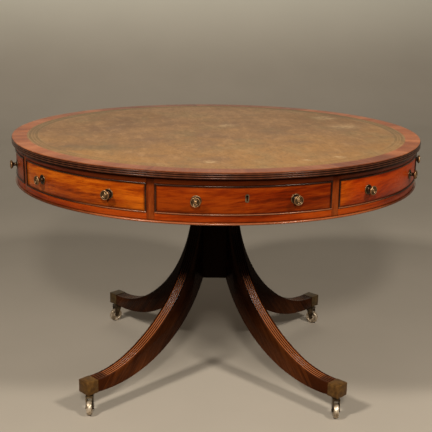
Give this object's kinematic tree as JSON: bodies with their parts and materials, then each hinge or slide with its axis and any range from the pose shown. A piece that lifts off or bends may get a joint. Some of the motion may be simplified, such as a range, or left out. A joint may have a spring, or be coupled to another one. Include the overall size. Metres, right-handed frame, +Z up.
{
  "type": "drum table",
  "caption": "Round revolving library table with a leather top, bowed drawers in the frieze and a pedestal of reeded sabre legs on brass castors.",
  "frame": {"origin": "on the floor, under the middle of the table", "axes": "+Z up along the drum's axis; -Y is the outward direction of drawer 1, +X of drawer 2"},
  "size_m": [1.21, 1.21, 0.762],
  "materials": {
    "mahogany_front": "polished figured mahogany veneer",
    "mahogany_rail": "polished mahogany, darkened",
    "mahogany_crossband": "polished cross-grained mahogany veneer",
    "mahogany_leg": "dark polished mahogany",
    "pine": "bare softwood, aged",
    "oak": "bare oak, aged",
    "leather": "worn tooled hide, mottled olive and tan",
    "knob_brass": "antique brass",
    "lock_brass": "tarnished brass",
    "castor_brass": "dull worn brass",
    "iron": "dark wrought iron"
  },
  "bodies": {
    "base": {"pedestal_block": "mahogany_leg", "bearer": "mahogany_leg", "spindle": "iron", "spindle_nut": "iron", "leg_front_left": "mahogany_leg", "leg_front_right": "mahogany_leg", "leg_back_right": "mahogany_leg", "leg_back_left": "mahogany_leg", "castor_front_left_cap": "castor_brass", "castor_front_right_cap": "castor_brass", "castor_back_right_cap": "castor_brass", "castor_back_left_cap": "castor_brass"},
    "drum": {"top_board": "pine", "reeded_edge": "mahogany_rail", "crossband": "mahogany_crossband", "leather": "leather", "top_screws": "iron", "upper_rail": "mahogany_rail", "lower_rail": "mahogany_rail", "base_bead": "mahogany_rail", "stiles": "mahogany_rail", "drum_bottom": "pine", "ribs": "pine", "drawer_guides": "pine", "drawer_stops": "pine", "dummy_fronts": "mahogany_front", "dummy_beading": "mahogany_rail", "dummy_knobs": "knob_brass"},
    "drawer_1": {"drawer_1_front": "mahogany_front", "drawer_1_box": "oak", "drawer_1_beading": "mahogany_rail", "drawer_1_knobs": "knob_brass", "drawer_1_lock": "lock_brass"},
    "lock_bolt_1": {"drawer_1_lock_bolt": "lock_brass"},
    "drawer_2": {"drawer_2_front": "mahogany_front", "drawer_2_box": "oak", "drawer_2_beading": "mahogany_rail", "drawer_2_knobs": "knob_brass", "drawer_2_lock": "lock_brass"},
    "lock_bolt_2": {"drawer_2_lock_bolt": "lock_brass"},
    "drawer_3": {"drawer_3_front": "mahogany_front", "drawer_3_box": "oak", "drawer_3_beading": "mahogany_rail", "drawer_3_knobs": "knob_brass", "drawer_3_lock": "lock_brass"},
    "lock_bolt_3": {"drawer_3_lock_bolt": "lock_brass"},
    "drawer_4": {"drawer_4_front": "mahogany_front", "drawer_4_box": "oak", "drawer_4_beading": "mahogany_rail", "drawer_4_knobs": "knob_brass", "drawer_4_lock": "lock_brass"},
    "lock_bolt_4": {"drawer_4_lock_bolt": "lock_brass"},
    "castor_front_left": {"castor_front_left_fork": "castor_brass"},
    "wheel_front_left": {"castor_front_left_wheel": "castor_brass"},
    "castor_front_right": {"castor_front_right_fork": "castor_brass"},
    "wheel_front_right": {"castor_front_right_wheel": "castor_brass"},
    "castor_back_right": {"castor_back_right_fork": "castor_brass"},
    "wheel_back_right": {"castor_back_right_wheel": "castor_brass"},
    "castor_back_left": {"castor_back_left_fork": "castor_brass"},
    "wheel_back_left": {"castor_back_left_wheel": "castor_brass"}
  },
  "joints": [
    {"name": "drum_turn", "type": "hinge", "parent": "base", "child": "drum", "pos_m": [0, 0, 0.64], "axis": [0, 0, 1], "continuous": true},
    {"name": "drawer_1_slide", "type": "slide", "parent": "drum", "child": "drawer_1", "axis": [0, -1, 0], "range_m": [0, 0.24]},
    {"name": "lock_bolt_1_throw", "type": "slide", "parent": "drawer_1", "child": "lock_bolt_1", "axis": [0, 0, 1], "range_m": [0, 0.011]},
    {"name": "drawer_2_slide", "type": "slide", "parent": "drum", "child": "drawer_2", "axis": [1, 0, 0], "range_m": [0, 0.24]},
    {"name": "lock_bolt_2_throw", "type": "slide", "parent": "drawer_2", "child": "lock_bolt_2", "axis": [0, 0, 1], "range_m": [0, 0.011]},
    {"name": "drawer_3_slide", "type": "slide", "parent": "drum", "child": "drawer_3", "axis": [0, 1, 0], "range_m": [0, 0.24]},
    {"name": "lock_bolt_3_throw", "type": "slide", "parent": "drawer_3", "child": "lock_bolt_3", "axis": [0, 0, 1], "range_m": [0, 0.011]},
    {"name": "drawer_4_slide", "type": "slide", "parent": "drum", "child": "drawer_4", "axis": [-1, 0, 0], "range_m": [0, 0.24]},
    {"name": "lock_bolt_4_throw", "type": "slide", "parent": "drawer_4", "child": "lock_bolt_4", "axis": [0, 0, 1], "range_m": [0, 0.011]},
    {"name": "castor_front_left_swivel", "type": "hinge", "parent": "base", "child": "castor_front_left", "pos_m": [-0.39166, -0.30271, 0.0665], "axis": [0, 0, 1], "continuous": true},
    {"name": "wheel_front_left_roll", "type": "hinge", "parent": "castor_front_left", "child": "wheel_front_left", "pos_m": [-0.39318, -0.31461, 0.0225], "axis": [0.9919, -0.1271, 0], "continuous": true},
    {"name": "castor_front_right_swivel", "type": "hinge", "parent": "base", "child": "castor_front_right", "pos_m": [0.30271, -0.39166, 0.0665], "axis": [0, 0, 1], "continuous": true},
    {"name": "wheel_front_right_roll", "type": "hinge", "parent": "castor_front_right", "child": "wheel_front_right", "pos_m": [0.30118, -0.40356, 0.0225], "axis": [0.9919, -0.1271, 0], "continuous": true},
    {"name": "castor_back_right_swivel", "type": "hinge", "parent": "base", "child": "castor_back_right", "pos_m": [0.39166, 0.30271, 0.0665], "axis": [0, 0, 1], "continuous": true},
    {"name": "wheel_back_right_roll", "type": "hinge", "parent": "castor_back_right", "child": "wheel_back_right", "pos_m": [0.40053, 0.29463, 0.0225], "axis": [0.673, 0.7396, 0], "continuous": true},
    {"name": "castor_back_left_swivel", "type": "hinge", "parent": "base", "child": "castor_back_left", "pos_m": [-0.30271, 0.39166, 0.0665], "axis": [0, 0, 1], "continuous": true},
    {"name": "wheel_back_left_roll", "type": "hinge", "parent": "castor_back_left", "child": "wheel_back_left", "pos_m": [-0.31333, 0.38608, 0.0225], "axis": [0.4648, -0.8854, 0], "continuous": true}
  ]
}
